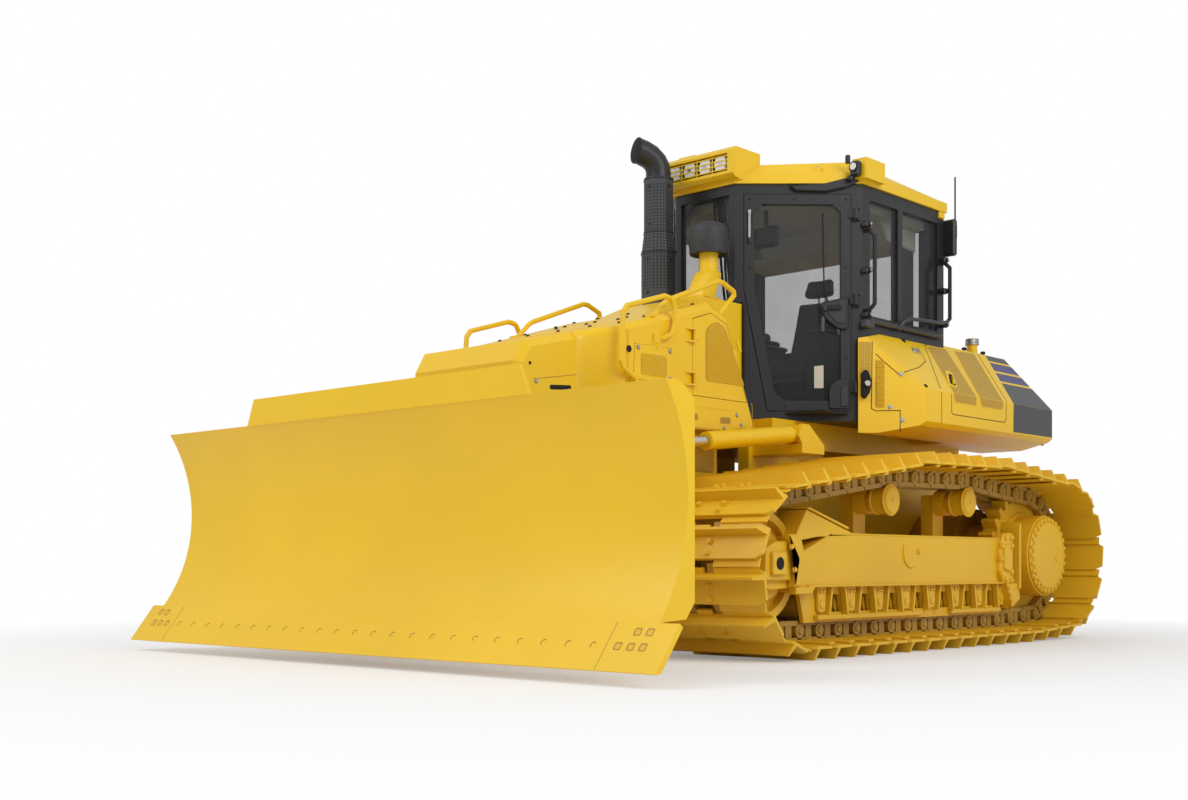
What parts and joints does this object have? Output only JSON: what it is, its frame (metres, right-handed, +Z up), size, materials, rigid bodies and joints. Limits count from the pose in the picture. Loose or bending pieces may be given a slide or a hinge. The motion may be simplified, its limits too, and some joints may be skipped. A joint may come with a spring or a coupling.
{
  "type": "crawler dozer with power-angle-tilt blade",
  "caption": "Crawler dozer with wide tracks, sloping hood, glazed cab and a front blade that lifts, angles and tilts.",
  "frame": {"origin": "on the ground under the middle of the whole machine, blade included", "axes": "+X to the machine's left, +Y to its rear, +Z up; the blade faces -Y"},
  "size_m": [4.272, 5.8104, 3.3934],
  "materials": {
    "yellow_paint": "satin enamel",
    "track_paint": "satin enamel",
    "dark_paint": "satin black",
    "window_glass": "clear",
    "chrome_rod": "polished",
    "seat_cloth": "woven",
    "lamp_lens": "clear lens",
    "cast_grey": "cast",
    "cab_plastic": "grained",
    "core_fins": "finned"
  },
  "bodies": {
    "chassis": {"main_frame": "yellow_paint", "engine_block": "cast_grey", "hood": "yellow_paint", "hood_rails": "yellow_paint", "exhaust": "dark_paint", "precleaner": "dark_paint", "cab_frame": "dark_paint", "cab_roof": "yellow_paint", "cab_glass": "window_glass", "cab_console": "cab_plastic", "seat": "seat_cloth", "rear_body": "yellow_paint", "radiator": "core_fins", "drawbar": "yellow_paint", "lamps": "lamp_lens", "cab_rails": "dark_paint", "track_frames": "track_paint", "idlers": "track_paint", "sprockets": "track_paint", "rollers": "track_paint", "track_left": "track_paint", "track_right": "track_paint"},
    "cab_door_left": {"cab_door_left": "dark_paint", "door_glass_left": "window_glass"},
    "cab_door_right": {"cab_door_right": "dark_paint", "door_glass_right": "window_glass"},
    "engine_door_left": {"engine_door_left": "yellow_paint"},
    "engine_door_right": {"engine_door_right": "yellow_paint"},
    "rear_door": {"rear_grille_door": "yellow_paint"},
    "fan": {"fan": "cab_plastic"},
    "push_frame": {"c_frame": "yellow_paint"},
    "yoke": {"blade_yoke": "yellow_paint"},
    "blade": {"blade": "yellow_paint", "cutting_edge": "yellow_paint"},
    "lift_barrel_left": {"lift_barrel_left": "yellow_paint"},
    "lift_barrel_right": {"lift_barrel_right": "yellow_paint"},
    "lift_rod_left": {"lift_rod_left": "chrome_rod"},
    "lift_rod_right": {"lift_rod_right": "chrome_rod"},
    "angle_barrel_left": {"angle_barrel_left": "yellow_paint"},
    "angle_barrel_right": {"angle_barrel_right": "yellow_paint"},
    "angle_rod_left": {"angle_rod_left": "chrome_rod"},
    "angle_rod_right": {"angle_rod_right": "chrome_rod"},
    "tilt_barrel": {"tilt_barrel": "yellow_paint"},
    "tilt_rod": {"tilt_rod": "chrome_rod"}
  },
  "joints": [
    {"name": "blade_lift", "type": "hinge", "parent": "chassis", "child": "push_frame", "pos_m": [0, -0.2, 0.5], "axis": [1, 0, 0], "range_deg": [-20, 7]},
    {"name": "blade_angle", "type": "hinge", "parent": "push_frame", "child": "yoke", "pos_m": [0, -2.19, 0.56], "axis": [0, 0, -1], "range_deg": [-25, 25]},
    {"name": "blade_tilt", "type": "hinge", "parent": "yoke", "child": "blade", "pos_m": [0, -2.48, 0.56], "axis": [0, 1, 0], "range_deg": [-7, 7]},
    {"name": "cab_door_left", "type": "hinge", "parent": "chassis", "child": "cab_door_left", "pos_m": [0.85052, 0.64617, 2.28], "axis": [0, 0, 1], "range_deg": [0, 100]},
    {"name": "engine_door_left", "type": "hinge", "parent": "chassis", "child": "engine_door_left", "pos_m": [0.646, -0.784, 1.77], "axis": [0, 0, -1], "range_deg": [0, 90]},
    {"name": "cab_door_right", "type": "hinge", "parent": "chassis", "child": "cab_door_right", "pos_m": [-0.85052, 0.64617, 2.28], "axis": [0, 0, -1], "range_deg": [0, 100]},
    {"name": "engine_door_right", "type": "hinge", "parent": "chassis", "child": "engine_door_right", "pos_m": [-0.646, -0.784, 1.77], "axis": [0, 0, 1], "range_deg": [0, 90]},
    {"name": "rear_door", "type": "hinge", "parent": "chassis", "child": "rear_door", "pos_m": [0.706, 2.873, 1.61], "axis": [0, 0, -1], "range_deg": [0, 95]},
    {"name": "fan_spin", "type": "hinge", "parent": "chassis", "child": "fan", "pos_m": [0, 2.41, 1.8], "axis": [0, 1, 0], "continuous": true},
    {"name": "lift_barrel_left", "type": "hinge", "parent": "chassis", "child": "lift_barrel_left", "pos_m": [0.75, 0.105, 1.363], "axis": [1, 0, 0], "range_deg": [-18, 7]},
    {"name": "lift_rod_left", "type": "slide", "parent": "lift_barrel_left", "child": "lift_rod_left", "axis": [0, -0.9938, -0.1112], "range_m": [-0.31, 0.11]},
    {"name": "angle_barrel_left", "type": "hinge", "parent": "push_frame", "child": "angle_barrel_left", "pos_m": [0.52, -1.5, 0.67], "axis": [0, 0, 1], "range_deg": [-2, 2]},
    {"name": "angle_rod_left", "type": "slide", "parent": "angle_barrel_left", "child": "angle_rod_left", "axis": [-0.1249, -0.9922, 0], "range_m": [-0.19, 0.19]},
    {"name": "lift_barrel_right", "type": "hinge", "parent": "chassis", "child": "lift_barrel_right", "pos_m": [-0.75, 0.105, 1.363], "axis": [1, 0, 0], "range_deg": [-18, 7]},
    {"name": "lift_rod_right", "type": "slide", "parent": "lift_barrel_right", "child": "lift_rod_right", "axis": [0, -0.9938, -0.1112], "range_m": [-0.31, 0.11]},
    {"name": "angle_barrel_right", "type": "hinge", "parent": "push_frame", "child": "angle_barrel_right", "pos_m": [-0.52, -1.5, 0.67], "axis": [0, 0, -1], "range_deg": [-2, 2]},
    {"name": "angle_rod_right", "type": "slide", "parent": "angle_barrel_right", "child": "angle_rod_right", "axis": [0.1249, -0.9922, 0], "range_m": [-0.19, 0.19]},
    {"name": "tilt_barrel", "type": "hinge", "parent": "yoke", "child": "tilt_barrel", "pos_m": [-0.43, -2.44, 1.15], "axis": [0, 1, 0], "range_deg": [-3.5, 3.5]},
    {"name": "tilt_rod", "type": "slide", "parent": "tilt_barrel", "child": "tilt_rod", "axis": [1, 0, 0], "range_m": [-0.075, 0.075]}
  ],
  "couplings": [
    {"joint": "lift_barrel_left", "follows": "blade_lift", "ratio": 0.8195},
    {"joint": "lift_rod_left", "follows": "blade_lift", "m_per_rad": 0.8573},
    {"joint": "angle_barrel_left", "follows": "blade_angle", "ratio": 0.0622},
    {"joint": "angle_rod_left", "follows": "blade_angle", "m_per_rad": 0.4198},
    {"joint": "lift_barrel_right", "follows": "blade_lift", "ratio": 0.8195},
    {"joint": "lift_rod_right", "follows": "blade_lift", "m_per_rad": 0.8573},
    {"joint": "angle_barrel_right", "follows": "blade_angle", "ratio": -0.0622},
    {"joint": "angle_rod_right", "follows": "blade_angle", "m_per_rad": -0.4198},
    {"joint": "tilt_barrel", "follows": "blade_tilt", "ratio": 0.2002},
    {"joint": "tilt_rod", "follows": "blade_tilt", "m_per_rad": 0.5895}
  ]
}
